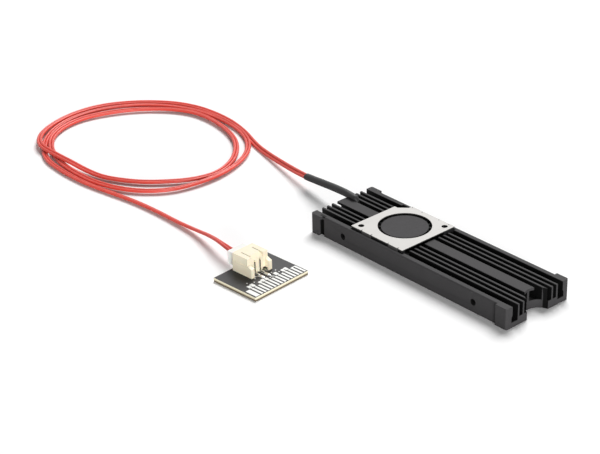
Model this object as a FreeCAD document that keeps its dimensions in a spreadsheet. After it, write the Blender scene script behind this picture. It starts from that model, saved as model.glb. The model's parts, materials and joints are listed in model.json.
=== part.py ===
import FreeCAD, Part
import math
import os
import Sketcher
from types import SimpleNamespace

# Finned cooler for a storage module: a milled aluminium extrusion with a flat
# blower let into its fins, a long twin lead, and the adapter board that the
# lead plugs into. Millimetres. The origin is under the middle of the finned
# block, +X runs along the fins to the end with the screw notch, +Z is up.

sizes = {
    # finned block
    "sinkLength": 76.0,
    "sinkWidth": 24.0,
    "sinkHeight": 6.25,
    "baseThickness": 2.5,
    "outerFloor": 1.6,
    "wallThickness": 1.6,
    "wallFlare": 0.35,
    "headDepth": 2.6,
    "sideRecess": 0.65,
    "cornerLength": 4.1,
    "finPitch": 1.86,
    "finThickness": 0.6,
    "ribWidth": 3.7,
    "ribFlange": 0.8,
    "ribStem": 0.8,
    "notchRadius": 4.15,
    "notchDepth": 3.5,
    "sideHoleInset": 12.65,
    "sideHoleHeight": 3.0,
    "sideHoleRadius": 0.95,
    "reliefStart": 3.2,
    "reliefLength": 1.6,
    "reliefDepth": 1.25,
    "reliefTop": 0.9,
    "wallChamfer": 0.3,
    "cornerChamfer": 0.4,
    # thermal pad let into the underside
    "padLength": 66.0,
    "padWidth": 19.0,
    "padThickness": 0.5,
    "padShift": 1.0,
    "padRecess": 0.55,
    "padClearance": 0.15,
    # blower
    "fanOffset": 12.75,
    "fanSide": 20.5,
    "fanThickness": 4.6,
    "pocketClearance": 0.2,
    "axisShiftX": 0.2,
    "axisShiftY": 0.6,
    "coverThickness": 0.3,
    "cornerCut": 3.5,
    "cornerStep": 1.2,
    "inletRadius": 7.65,
    "fanHoleInset": 2.0,
    "fanHoleRadius": 0.85,
    "tabFirst": 4.2,
    "tabSecond": 6.4,
    "tabWidth": 3.6,
    "tabDepth": 1.6,
    "tabSlitWidth": 0.3,
    "tabSlitDepth": 0.55,
    "housingFloor": 0.4,
    "housingWall": 0.8,
    "voluteRadius": 9.3,
    "voluteShift": 0.45,
    "outletTop": 6.0,
    "postRadius": 1.7,
    "postHeight": 2.6,
    "seatRadius": 2.1,
    "seatHeight": 1.3,
    "wireSlotWidth": 1.3,
    "wireSlotHeight": 1.1,
    # rotor
    "hubRadius": 6.75,
    "hubRecess": 0.3,
    "hubDisc": 0.4,
    "skirtWall": 0.78,
    "rotorDepth": 2.3,
    "bossRadius": 1.1,
    "bossDepth": 0.5,
    "impellerRadius": 8.4,
    "bladeCount": 23,
    "bladeHeight": 2.3,
    "bladeThickness": 0.3,
    "bladeRoot": 0.15,
    "bladeDrop": 0.35,
    "bladeCurve": 3.4,
    "bladeCentre": 0.15,
    "yokeThickness": 0.28,
    "magnetThickness": 0.8,
    "magnetLip": 0.05,
    "glueGap": 0.02,
    "shaftRadius": 0.5,
    "shaftFit": 0.03,
    # bearing and stator
    "sleeveRadius": 1.2,
    "sleeveLength": 2.4,
    "washerThickness": 0.15,
    "washerGap": 0.05,
    "airGap": 0.25,
    "coreHeight": 1.2,
    "coreHub": 2.3,
    "toothWidth": 0.9,
    "shoeStart": 3.6,
    "coilWidth": 2.1,
    "coilHeight": 2.2,
    "coilLength": 1.1,
    "motorBoardRadius": 5.2,
    "motorBoardThickness": 0.4,
    "motorTabReach": 7.0,
    "motorTabWidth": 1.9,
    "chipLength": 1.8,
    "chipWidth": 1.6,
    "chipHeight": 0.5,
    "chipPlace": 1.7,
    "solderLength": 0.7,
    "solderWidth": 0.46,
    # wires, sleeve and lead
    "fanWireRadius": 0.25,
    "fanWireSpacing": 0.56,
    "sleeveTubeRadius": 1.15,
    "leadRadius": 0.9,
    "coilBandHeight": 2.0,
    # adapter board
    "boardX": 27.4,
    "boardY": 40.0,
    "boardTurn": 4.2,
    "boardDepth": 16.4,
    "boardWidth": 20.2,
    "boardThickness": 1.2,
    "copperThickness": 0.05,
    "contactCount": 15,
    "contactPitch": 1.27,
    "contactWidth": 0.7,
    "contactLength": 4.1,
    "contactSetback": 0.25,
    "contactShift": 0.45,
    "wideContact": 1.5,
    # connector pair
    "headerSetback": 0.9,
    "headerShift": 0.2,
    "headerDepth": 7.5,
    "headerWidth": 7.9,
    "headerHeight": 5.45,
    "wingFrontHeight": 2.8,
    "wingRearHeight": 3.4,
    "headerSlopeLength": 1.2,
    "headerSlopeHeight": 1.9,
    "shoulderHeight": 3.1,
    "shoulderInset": 0.15,
    "headerWall": 0.8,
    "headerFloor": 0.65,
    "headerRoof": 0.55,
    "headerBackWall": 1.5,
    "wingLength": 1.6,
    "wingWidth": 1.2,
    "centreHalf": 2.05,
    "slitWidth": 0.62,
    "slitDepth": 0.9,
    "slitTop": 4.0,
    "roofSlotSpacing": 4.1,
    "roofSlotWidth": 0.28,
    "roofSlotStart": 1.7,
    "windowInset": 1.95,
    "windowWidth": 1.5,
    "windowRear": 0.8,
    "windowFront": 1.0,
    "windowHeight": 0.65,
    "plugClearance": 0.2,
    "plugLength": 7.1,
    "plugHeight": 3.9,
    "plugReach": 0.3,
    "channelWidth": 1.5,
    "channelHeight": 1.9,
    "contactBoxWidth": 1.36,
    "contactBoxHeight": 1.7,
    "contactBoxLength": 5.0,
    "contactBoxSetback": 0.9,
    "pinPitch": 2.0,
    "pinSize": 0.5,
    "pinHeight": 2.75,
    "pinReach": 3.4,
    "pinFoot": 0.4,
    "pinFootLength": 1.9,
    "pinFit": 0.04,
    "solderPadLength": 4.4,
    "solderPadWidth": 1.1,
    "anchorLength": 1.6,
    "anchorThickness": 0.3,
    "anchorPadLength": 2.4,
    "anchorPadWidth": 1.5,
}

# Points of the wires and of the lead, along their middle line, chosen by hand.
fanWireRoute = ((-32.6, 3.56), (-34.95, 7.05))
sleeveRoute = (
    (-35.1, 2.6, 7.2),
    (-44.0, 3.0, 7.2),
    (-60.8, 6.4, 3.6),
)
leadInRoute = (
    (-60.8, 6.4, 3.6),
    (-76.5, 10.15, 0.95),
    (-96.0, 14.3, 0.95),
)
leadOutRoute = (
    (-104.5, -40.9, 0.95),
    (-57.0, -37.9, 0.95),
    (-37.6, -40.53, 3.98),
)
# The loose turns lie in a flat band round this point; its inner and outer
# edges are given every 30 degrees, from +X round through +Y.
coilCentre = (-117.0, -11.0)
coilOuter = (33.6, 33.6, 32.8, 31.3, 32.6, 34.4, 36.9, 37.2, 33.8, 31.6, 33.2, 34.4)
coilInner = (30.0, 28.2, 26.2, 25.4, 26.6, 27.2, 28.6, 30.6, 27.8, 24.5, 24.6, 26.4)


class Term:
    """A size, as its number and as the sheet expression that gives it."""

    def __init__(self, number, text):
        self.number = number
        self.text = text

    def __add__(self, other):
        other = asTerm(other)
        return Term(self.number + other.number, "(%s + %s)" % (self.text, other.text))

    def __sub__(self, other):
        other = asTerm(other)
        return Term(self.number - other.number, "(%s - %s)" % (self.text, other.text))

    def __mul__(self, other):
        other = asTerm(other)
        return Term(self.number * other.number, "%s * %s" % (self.text, other.text))

    def __truediv__(self, other):
        other = asTerm(other)
        return Term(self.number / other.number, "%s / %s" % (self.text, other.text))

    def __neg__(self):
        return Term(-self.number, "(0 - %s)" % self.text)


def asTerm(value):
    if isinstance(value, Term):
        return value
    return Term(value, repr(float(value)))


zero = asTerm(0)

doc = FreeCAD.newDocument("ModuleCooler")
sheet = doc.addObject("Spreadsheet::Sheet", "Sizes")
for row, (name, value) in enumerate(sizes.items(), start=1):
    sheet.set("A%d" % row, name)
    sheet.set("B%d" % row, str(value))
    sheet.setAlias("B%d" % row, name)
doc.recompute()
size = SimpleNamespace(**{name: Term(value, "Sizes." + name) for name, value in sizes.items()})

nodes = []


def keep(thing, name):
    thing.Label = name
    nodes.append(thing)
    return thing


def move(thing, x=zero, y=zero, z=zero, turn=None):
    """Placement from the sheet; turn is about +Z, in degrees."""
    if turn is not None:
        thing.Placement = FreeCAD.Placement(FreeCAD.Vector(), FreeCAD.Rotation(FreeCAD.Vector(0, 0, 1), 1))
        thing.setExpression("Placement.Rotation.Angle", asTerm(turn).text)
    for axis, term in (("x", x), ("y", y), ("z", z)):
        thing.setExpression("Placement.Base." + axis, asTerm(term).text)


def newBody(name):
    return keep(doc.addObject("PartDesign::Body", name), name)


def sketchOn(body, role, name, height=zero):
    """Sketch on one of the body's own planes, shifted along the plane's normal."""
    sketch = body.newObject("Sketcher::SketchObject", body.Name + "_" + name)
    support = [feature for feature in body.Origin.OriginFeatures if feature.Role == role][0]
    sketch.AttachmentSupport = [(support, "")]
    sketch.MapMode = "FlatFace"
    sketch.setExpression("AttachmentOffset.Base.z", asTerm(height).text)
    return sketch


def tie(sketch, kind, places, term):
    term = asTerm(term)
    index = sketch.addConstraint(Sketcher.Constraint(kind, *places, term.number))
    sketch.setExpression("Constraints[%d]" % index, term.text)


def outline(sketch, corners):
    """Closed run of straight edges with every corner tied to the sheet."""
    corners = [(asTerm(x), asTerm(y)) for x, y in corners]
    first = sketch.GeometryCount
    count = len(corners)
    points = [FreeCAD.Vector(x.number, y.number, 0) for x, y in corners]
    for start, end in zip(points, points[1:] + points[:1]):
        sketch.addGeometry(Part.LineSegment(start, end), False)
    for index in range(count):
        after = first + (index + 1) % count
        sketch.addConstraint(Sketcher.Constraint("Coincident", first + index, 2, after, 1))
    for index, (x, y) in enumerate(corners):
        tie(sketch, "DistanceX", (-1, 1, first + index, 1), x)
        tie(sketch, "DistanceY", (-1, 1, first + index, 1), y)


def rectangle(sketch, left, right, low, high):
    outline(sketch, ((left, low), (right, low), (right, high), (left, high)))


def circle(sketch, x, y, radius):
    x, y, radius = asTerm(x), asTerm(y), asTerm(radius)
    centre = FreeCAD.Vector(x.number, y.number, 0)
    index = sketch.addGeometry(Part.Circle(centre, FreeCAD.Vector(0, 0, 1), radius.number), False)
    tie(sketch, "DistanceX", (-1, 1, index, 3), x)
    tie(sketch, "DistanceY", (-1, 1, index, 3), y)
    tie(sketch, "Radius", (index,), radius)


def feature(body, kind, sketch, length=None, back=False, middle=False):
    """Pad or Pocket of a sketch; without a length it goes right through."""
    solid = body.newObject("PartDesign::" + kind, sketch.Name + "_" + kind.lower())
    solid.Profile = sketch
    solid.Reversed = back
    solid.Midplane = middle
    if length is None:
        solid.Type = "ThroughAll"
    else:
        solid.setExpression("Length", asTerm(length).text)
    sketch.Visibility = False
    return solid


def cutUp(body, sketch, length=None):
    """Pocket that runs up from its sketch."""
    return feature(body, "Pocket", sketch, length, back=True)


def chamfer(body, length, wanted):
    """Chamfer on the edges of the body that the test picks out."""
    doc.recompute()
    base = body.Tip
    names = ["Edge%d" % (i + 1) for i, edge in enumerate(base.Shape.Edges) if wanted(edge)]
    bevel = body.newObject("PartDesign::Chamfer", body.Name + "_bevel%d" % len(body.Group))
    bevel.Base = (base, names)
    bevel.setExpression("Size", asTerm(length).text)
    return bevel


def along(edge, axis):
    """True for a straight edge that runs along the axis."""
    if not isinstance(edge.Curve, Part.Line):
        return False
    return abs(abs(edge.Curve.Direction.dot(axis)) - 1) < 1e-6


def near(value, term):
    return abs(value - asTerm(term).number) < 1e-4


def block(name, left, right, low, high, bottom, height):
    """Rectangular piece with its own sketch and pad."""
    body = newBody(name)
    sketch = sketchOn(body, "XY_Plane", "plan", bottom)
    rectangle(sketch, left, right, low, high)
    feature(body, "Pad", sketch, height)
    return body


def ring(name, outer, inner, bottom, height):
    """Round washer or tube about +Z."""
    body = newBody(name)
    sketch = sketchOn(body, "XY_Plane", "plan", bottom)
    circle(sketch, zero, zero, outer)
    circle(sketch, zero, zero, inner)
    feature(body, "Pad", sketch, height)
    return body


xAxis = FreeCAD.Vector(1, 0, 0)
zAxis = FreeCAD.Vector(0, 0, 1)

# Finned block: extruded profile, then the milled recesses, pocket and notch.

halfLength = size.sinkLength / 2
halfWidth = size.sinkWidth / 2
sinkTop = size.sinkHeight
wallOut = halfWidth - size.sideRecess
wallIn = wallOut - size.wallThickness


def finProfile():
    """Corners of half the cross-section, from the outer foot up and inward."""
    lowIn = wallIn + size.wallFlare
    headFoot = sinkTop - size.headDepth
    corners = [
        (halfWidth, zero),
        (halfWidth, sinkTop),
        (wallIn, sinkTop),
        (wallIn, headFoot),
        (lowIn, headFoot - size.wallFlare * 2),
        (lowIn, size.outerFloor),
    ]
    floor = size.outerFloor
    for step in (4, 3, 2):
        outer = size.finPitch * step + size.finThickness / 2
        inner = size.finPitch * step - size.finThickness / 2
        corners += [(outer, floor), (outer, sinkTop), (inner, sinkTop), (inner, size.baseThickness)]
        floor = size.baseThickness
    stem = size.ribStem / 2
    flange = sinkTop - size.ribFlange
    edge = size.ribWidth / 2
    corners += [(stem, size.baseThickness), (stem, flange), (edge, flange), (edge, sinkTop)]
    return corners


sink = newBody("heat_sink")
profile = sketchOn(sink, "YZ_Plane", "profile")
halfProfile = finProfile()
outline(profile, halfProfile + [(-y, z) for y, z in reversed(halfProfile)])
feature(sink, "Pad", profile, size.sinkLength, middle=True)

# Between the corner blocks both side walls are milled back.
recessEnd = halfLength - size.cornerLength
recess = sketchOn(sink, "XY_Plane", "recess")
rectangle(recess, -recessEnd, recessEnd, -halfWidth, -wallOut)
rectangle(recess, -recessEnd, recessEnd, wallOut, halfWidth)
cutUp(sink, recess)

relief = sketchOn(sink, "XY_Plane", "relief")
reliefLeft = size.reliefStart - halfLength
rectangle(relief, reliefLeft, reliefLeft + size.reliefLength, -halfWidth, size.reliefDepth - halfWidth)
cutUp(sink, relief, sinkTop - size.reliefTop)

# The blower's pocket takes the fins down to the base.
fanX = -size.fanOffset
fanHalf = size.fanSide / 2
pocketHalf = fanHalf + size.pocketClearance
pocket = sketchOn(sink, "XY_Plane", "pocket", size.baseThickness)
rectangle(pocket, fanX - pocketHalf, fanX + pocketHalf, -pocketHalf, pocketHalf)
cutUp(sink, pocket)

notch = sketchOn(sink, "XY_Plane", "notch")
circle(notch, halfLength + size.notchRadius - size.notchDepth, zero, size.notchRadius)
cutUp(sink, notch)

# Screw holes through both side walls into the deep outer channels.
sideHoleX = halfLength - size.sideHoleInset
for name, height, back in (("nearHoles", halfWidth, False), ("farHoles", -halfWidth, True)):
    holes = sketchOn(sink, "XZ_Plane", name, height)
    for x in (-sideHoleX, sideHoleX):
        circle(holes, x, size.sideHoleHeight, size.sideHoleRadius)
    feature(sink, "Pocket", holes, halfWidth - wallIn, back)

padRoom = sketchOn(sink, "XY_Plane", "padRoom")
padX = -size.padShift
padHalfLength = size.padLength / 2
padHalfWidth = size.padWidth / 2
rectangle(
    padRoom,
    padX - padHalfLength - size.padClearance,
    padX + padHalfLength + size.padClearance,
    -padHalfWidth - size.padClearance,
    padHalfWidth + size.padClearance,
)
cutUp(sink, padRoom, size.padRecess)


# Between the corner blocks the walls' outer top edges are bevelled.
bevel = sketchOn(sink, "YZ_Plane", "bevel")
for sign in (-1, 1):
    outline(bevel, (
        (wallOut * sign, sinkTop),
        (wallOut * sign, sinkTop - size.wallChamfer),
        ((wallOut - size.wallChamfer) * sign, sinkTop),
    ))
feature(sink, "Pocket", bevel, recessEnd * 2, middle=True)
corners = sketchOn(sink, "XY_Plane", "corners")
for signX in (-1, 1):
    for signY in (-1, 1):
        outline(corners, (
            (halfLength * signX, halfWidth * signY),
            ((halfLength - size.cornerChamfer) * signX, halfWidth * signY),
            (halfLength * signX, (halfWidth - size.cornerChamfer) * signY),
        ))
cutUp(sink, corners)

block(
    "thermal_pad",
    padX - padHalfLength,
    padX + padHalfLength,
    -padHalfWidth,
    padHalfWidth,
    size.padRecess - size.padThickness,
    size.padThickness,
)

# Blower. Its pieces are drawn about the middle of its square, from the
# pocket's floor up; the rotor's pieces are drawn about the shaft.

coverUnder = size.fanThickness - size.coverThickness
housingHalf = fanHalf - size.coverThickness
holePlace = fanHalf - size.fanHoleInset


def onFan(body):
    move(body, fanX, zero, size.baseThickness)
    return body


def onShaft(body):
    move(body, fanX + size.axisShiftX, size.axisShiftY, size.baseThickness)
    return body


housing = onFan(newBody("fan_housing"))
shell = sketchOn(housing, "XY_Plane", "shell")
outline(shell, (
    (-fanHalf, -housingHalf),
    (fanHalf, -housingHalf),
    (fanHalf, housingHalf),
    (size.cornerCut - fanHalf, housingHalf),
    (-fanHalf, housingHalf - size.cornerCut),
))
feature(housing, "Pad", shell, coverUnder)
volute = sketchOn(housing, "XY_Plane", "volute", size.housingFloor)
circle(volute, size.axisShiftX, size.axisShiftY - size.voluteShift, size.voluteRadius)
cutUp(housing, volute)
outlet = sketchOn(housing, "XY_Plane", "outlet", size.housingFloor)
rectangle(outlet, size.axisShiftX, fanHalf, size.housingWall - housingHalf, size.outletTop)
cutUp(housing, outlet)
for name, radius, height in (("seat", size.seatRadius, size.seatHeight), ("post", size.postRadius, size.postHeight)):
    tower = sketchOn(housing, "XY_Plane", name, size.housingFloor)
    circle(tower, size.axisShiftX, size.axisShiftY, radius)
    feature(housing, "Pad", tower, height)
bore = sketchOn(housing, "XY_Plane", "bore", size.housingFloor)
circle(bore, size.axisShiftX, size.axisShiftY, size.sleeveRadius + size.glueGap)
cutUp(housing, bore)
screws = sketchOn(housing, "XY_Plane", "screws")
for place in (-holePlace, holePlace):
    circle(screws, place, place, size.fanHoleRadius)
cutUp(housing, screws)

# The wires lie in the channel beside the middle rib.
wireY = (size.ribWidth / 2 + size.finPitch * 2 - size.finThickness / 2) / 2
wireSlot = sketchOn(housing, "XY_Plane", "wireSlot", size.housingFloor)
slotHalf = size.wireSlotWidth / 2
rectangle(wireSlot, -fanHalf, -size.hubRadius, wireY - slotHalf, wireY + slotHalf)
cutUp(housing, wireSlot, size.wireSlotHeight)

cover = onFan(newBody("fan_cover"))
plate = sketchOn(cover, "XY_Plane", "plate", coverUnder)
outline(plate, (
    (-fanHalf, -fanHalf),
    (fanHalf, -fanHalf),
    (fanHalf, fanHalf),
    (size.cornerCut - fanHalf, fanHalf),
    (size.cornerCut - fanHalf, fanHalf - size.cornerStep),
    (size.cornerStep - fanHalf, fanHalf - size.cornerCut),
    (-fanHalf, fanHalf - size.cornerCut),
))
feature(cover, "Pad", plate, size.coverThickness)
tabCentres = (-size.tabFirst, size.tabSecond)
tabs = sketchOn(cover, "XY_Plane", "tabs", coverUnder - size.tabDepth)
slits = sketchOn(cover, "XY_Plane", "slits", coverUnder)
for centre in tabCentres:
    left = centre - size.tabWidth / 2
    right = centre + size.tabWidth / 2
    for outer, inner, cut in (
        (-fanHalf, -housingHalf, size.tabSlitDepth - fanHalf),
        (fanHalf, housingHalf, fanHalf - size.tabSlitDepth),
    ):
        low, high = (outer, inner) if outer.number < inner.number else (inner, outer)
        rectangle(tabs, left, right, low, high)
        low, high = (outer, cut) if outer.number < cut.number else (cut, outer)
        rectangle(slits, left - size.tabSlitWidth, left, low, high)
        rectangle(slits, right, right + size.tabSlitWidth, low, high)
feature(cover, "Pad", tabs, size.tabDepth + size.coverThickness)
cutUp(cover, slits)
inlet = sketchOn(cover, "XY_Plane", "inlet")
circle(inlet, size.axisShiftX, size.axisShiftY, size.inletRadius)
for place in (-holePlace, holePlace):
    circle(inlet, place, place, size.fanHoleRadius)
cutUp(cover, inlet)

# Impeller: a turned hub with one curved blade, repeated round the shaft.

hubTop = size.fanThickness - size.hubRecess
discUnder = hubTop - size.hubDisc
skirtFoot = discUnder - size.rotorDepth
skirtIn = size.hubRadius - size.skirtWall
socket = size.shaftRadius + size.glueGap / 2
impeller = onShaft(newBody("impeller"))
hub = sketchOn(impeller, "XZ_Plane", "hub")
outline(hub, (
    (zero, hubTop),
    (size.hubRadius, hubTop),
    (size.hubRadius, skirtFoot),
    (skirtIn, skirtFoot),
    (skirtIn, discUnder),
    (size.bossRadius, discUnder),
    (size.bossRadius, discUnder - size.bossDepth),
    (socket, discUnder - size.bossDepth),
    (socket, discUnder),
    (zero, discUnder),
))
turned = impeller.newObject("PartDesign::Revolution", "impeller_turned")
turned.Profile = hub
turned.ReferenceAxis = (hub, ["V_Axis"])
turned.Angle = 360
hub.Visibility = False

bladeTop = coverUnder - size.bladeDrop
blade = sketchOn(impeller, "XY_Plane", "blade", bladeTop - size.bladeHeight)
bladeX = size.hubRadius + size.bladeCentre
rootX = size.hubRadius - size.bladeRoot
tipX = size.impellerRadius
for index, radius in enumerate((size.bladeCurve + size.bladeThickness / 2, size.bladeCurve - size.bladeThickness / 2)):
    centre = FreeCAD.Vector(bladeX.number, size.bladeCurve.number, 0)
    angles = [-math.acos((x.number - centre.x) / radius.number) for x in (rootX, tipX)]
    arc = Part.ArcOfCircle(Part.Circle(centre, zAxis, radius.number), angles[0], angles[1])
    blade.addGeometry(arc, False)
    tie(blade, "DistanceX", (-1, 1, index, 3), bladeX)
    tie(blade, "DistanceY", (-1, 1, index, 3), size.bladeCurve)
    tie(blade, "Radius", (index,), radius)
    tie(blade, "DistanceX", (-1, 1, index, 1), rootX)
    tie(blade, "DistanceX", (-1, 1, index, 2), tipX)
for line, corner in ((2, 1), (3, 2)):
    ends = [blade.getPoint(index, corner) for index in (0, 1)]
    blade.addGeometry(Part.LineSegment(*ends), False)
    blade.addConstraint(Sketcher.Constraint("Coincident", line, 1, 0, corner))
    blade.addConstraint(Sketcher.Constraint("Coincident", line, 2, 1, corner))
bladePad = feature(impeller, "Pad", blade, size.bladeHeight)
doc.recompute()
blades = impeller.newObject("PartDesign::PolarPattern", "impeller_blades")
blades.Originals = [bladePad]
blades.Axis = (blade, ["N_Axis"])
blades.Angle = 360
blades.setExpression("Occurrences", size.bladeCount.text)
impeller.Tip = blades

yokeOut = skirtIn - size.glueGap
yokeIn = yokeOut - size.yokeThickness
magnetOut = yokeIn - size.glueGap
magnetIn = magnetOut - size.magnetThickness
onShaft(ring("rotor_yoke", yokeOut, yokeIn, skirtFoot, size.rotorDepth))
onShaft(ring("rotor_magnet", magnetOut, magnetIn, skirtFoot + size.magnetLip, size.rotorDepth - size.magnetLip * 2))

washerTop = size.housingFloor + size.washerThickness
shaft = onShaft(newBody("rotor_shaft"))
shaftPlan = sketchOn(shaft, "XY_Plane", "plan", washerTop)
circle(shaftPlan, zero, zero, size.shaftRadius)
feature(shaft, "Pad", shaftPlan, discUnder - washerTop)

onShaft(ring(
    "bearing_sleeve",
    size.sleeveRadius,
    size.shaftRadius + size.shaftFit,
    washerTop + size.washerGap,
    size.sleeveLength,
))
washer = onShaft(newBody("thrust_washer"))
washerPlan = sketchOn(washer, "XY_Plane", "plan", size.housingFloor)
circle(washerPlan, zero, zero, size.sleeveRadius)
feature(washer, "Pad", washerPlan, size.washerThickness)

# Stator: four T-shaped teeth cut from a disc, with a coil on each.

coreRadius = magnetIn - size.airGap
coreFoot = size.housingFloor + size.seatHeight
core = onShaft(newBody("stator_core"))
corePlan = sketchOn(core, "XY_Plane", "plan", coreFoot)
circle(corePlan, zero, zero, coreRadius)
circle(corePlan, zero, zero, size.postRadius + size.glueGap)
feature(core, "Pad", corePlan, size.coreHeight)
slots = sketchOn(core, "XY_Plane", "slots", coreFoot)
tooth = size.toothWidth / 2
hubFlat = size.coreHub * 0.7
for signX in (1, -1):
    for signY in (1, -1):
        outline(slots, (
            (tooth * signX, size.coreHub * signY),
            (hubFlat * signX, hubFlat * signY),
            (size.coreHub * signX, tooth * signY),
            (size.shoeStart * signX, tooth * signY),
            (size.shoeStart * signX, size.shoeStart * signY),
            (tooth * signX, size.shoeStart * signY),
        ))
cutUp(core, slots)

coilMiddle = coreFoot + size.coreHeight / 2
coilGap = size.glueGap
for number in range(4):
    coil = newBody("stator_coil_%d" % (number + 1))
    move(coil, fanX + size.axisShiftX, size.axisShiftY, size.baseThickness, turn=90 * number)
    winding = sketchOn(coil, "YZ_Plane", "winding", size.coreHub + coilGap)
    coilHalf = size.coilWidth / 2
    rise = size.coilHeight / 2
    rectangle(winding, -coilHalf, coilHalf, coilMiddle - rise, coilMiddle + rise)
    rectangle(
        winding,
        -tooth - coilGap,
        tooth + coilGap,
        coreFoot - coilGap,
        coreFoot + size.coreHeight + coilGap,
    )
    feature(coil, "Pad", winding, size.coilLength)
    chamfer(coil, size.glueGap * 12, lambda edge: along(edge, xAxis) and near(abs(edge.BoundBox.YMin), coilHalf))

boardTop = size.housingFloor + size.motorBoardThickness
motorBoard = onShaft(newBody("motor_board"))
tabY = wireY - size.axisShiftY
tabHalf = size.motorTabWidth / 2
for name, draw in (
    ("disc", lambda sketch: circle(sketch, zero, zero, size.motorBoardRadius)),
    ("tongue", lambda sketch: rectangle(sketch, -size.motorTabReach, -size.seatRadius, tabY - tabHalf, tabY + tabHalf)),
):
    plan = sketchOn(motorBoard, "XY_Plane", name, size.housingFloor)
    draw(plan)
    feature(motorBoard, "Pad", plan, size.motorBoardThickness)
boardBore = sketchOn(motorBoard, "XY_Plane", "bore", size.housingFloor)
circle(boardBore, zero, zero, size.seatRadius + size.glueGap)
cutUp(motorBoard, boardBore)

onShaft(block(
    "driver_chip",
    size.chipPlace,
    size.chipPlace + size.chipLength,
    size.chipPlace,
    size.chipPlace + size.chipWidth,
    boardTop,
    size.chipHeight,
))

for number, side in ((1, -1), (2, 1)):
    middle = tabY + size.fanWireSpacing / 2 * side
    half = size.solderWidth / 2
    wireEnd = -size.motorTabReach + size.solderLength
    joint = onShaft(block(
        "motor_solder_%d" % number,
        wireEnd,
        wireEnd + size.solderLength,
        middle - half,
        middle + half,
        boardTop,
        size.fanWireRadius * 2,
    ))
    chamfer(joint, size.solderWidth / 4, lambda edge: near(edge.BoundBox.ZMin, boardTop + size.fanWireRadius * 2))


def bentTube(name, points, radius):
    """Tube along straight runs joined by arcs as large as the runs allow."""
    points = [FreeCAD.Vector(*point) for point in points]
    edges = []
    start = points[0]
    bends = []
    for before, corner, after in zip(points, points[1:], points[2:]):
        towards = (corner - before).normalize()
        away = (after - corner).normalize()
        turn = towards.getAngle(away)
        reach = 0.45 * min((corner - before).Length, (after - corner).Length)
        bend = reach / math.tan(turn / 2)
        enter = corner - towards * reach
        leave = corner + away * reach
        inward = (away - towards).normalize()
        middle = corner + inward * (bend / math.cos(turn / 2) - bend)
        edges.append(Part.LineSegment(start, enter).toShape())
        edges.append(Part.Arc(enter, middle, leave).toShape())
        start = leave
        bends.append(round(bend, 1))
    edges.append(Part.LineSegment(start, points[-1]).toShape())
    path = Part.Wire(edges)
    section = Part.Wire(Part.Circle(points[0], points[1] - points[0], radius).toShape())
    solid = path.makePipeShell([section], True, True)
    ideal = math.pi * radius ** 2 * path.Length
    print(name, "length", round(path.Length, 1), "radii", bends, "volume ratio", round(solid.Volume / ideal, 4))
    node = keep(doc.addObject("Part::Feature", name), name)
    node.Shape = solid
    return node


wireLevel = (size.baseThickness + boardTop + size.fanWireRadius).number + 0.01
wireStart = (fanX + size.axisShiftX - size.motorTabReach + size.solderLength).number
for number, side in ((1, -1), (2, 1)):
    y = (wireY + size.fanWireSpacing / 2 * side).number
    route = [(wireStart, y, wireLevel)] + [(x, y, z) for x, z in fanWireRoute]
    bentTube("fan_wire_%d" % number, route, size.fanWireRadius.number)

bentTube("heat_shrink_sleeve", sleeveRoute, size.sleeveTubeRadius.number)
bentTube("lead_run_in", leadInRoute, size.leadRadius.number)
bentTube("lead_run_out", leadOutRoute, size.leadRadius.number)


def bandEdge(radii):
    """Smooth closed curve through one radius every equal step of angle."""
    step = 2 * math.pi / len(radii)
    points = [
        FreeCAD.Vector(
            coilCentre[0] + radius * math.cos(index * step),
            coilCentre[1] + radius * math.sin(index * step),
            0,
        )
        for index, radius in enumerate(radii)
    ]
    curve = Part.BSplineCurve()
    curve.interpolate(points, PeriodicFlag=True)
    return Part.Wire([arc.toShape() for arc in curve.toBiArcs(0.06)])


band = Part.Face([bandEdge(coilOuter), bandEdge(coilInner)])
band.validate()
coilBand = keep(doc.addObject("Part::Feature", "lead_coil"), "lead_coil")
coilBand.Shape = band.extrude(FreeCAD.Vector(0, 0, size.coilBandHeight.number))

# Adapter board and the connector pair, drawn about the board's middle.


def onBoard(body):
    move(body, -size.boardX, -size.boardY, zero, turn=size.boardTurn)
    return body


boardHalfX = size.boardDepth / 2
boardHalfY = size.boardWidth / 2
copperTop = size.boardThickness + size.copperThickness
onBoard(block("adapter_board", -boardHalfX, boardHalfX, -boardHalfY, boardHalfY, zero, size.boardThickness))

contactRight = boardHalfX - size.contactSetback
contactLeft = contactRight - size.contactLength
contactHalf = size.contactWidth / 2
for number in range(int(sizes["contactCount"])):
    middle = size.contactShift + size.contactPitch * (number - (sizes["contactCount"] - 1) / 2)
    low = middle - (size.wideContact - contactHalf if number == 0 else contactHalf)
    onBoard(block(
        "edge_contact_%02d" % (number + 1),
        contactLeft,
        contactRight,
        low,
        middle + contactHalf,
        size.boardThickness,
        size.copperThickness,
    ))

headerRear = size.headerSetback - boardHalfX
headerFront = headerRear + size.headerDepth
headerFoot = copperTop
headerTop = headerFoot + size.headerHeight
headerHalf = size.headerWidth / 2
mouthFloor = headerFoot + size.headerFloor
mouthTop = headerTop - size.headerRoof
mouthHalf = headerHalf - size.headerWall
wallFront = headerFront - size.wingLength
wallRear = wallFront - size.headerBackWall
pinMiddle = headerFoot + size.pinHeight
shift = size.headerShift

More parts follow.
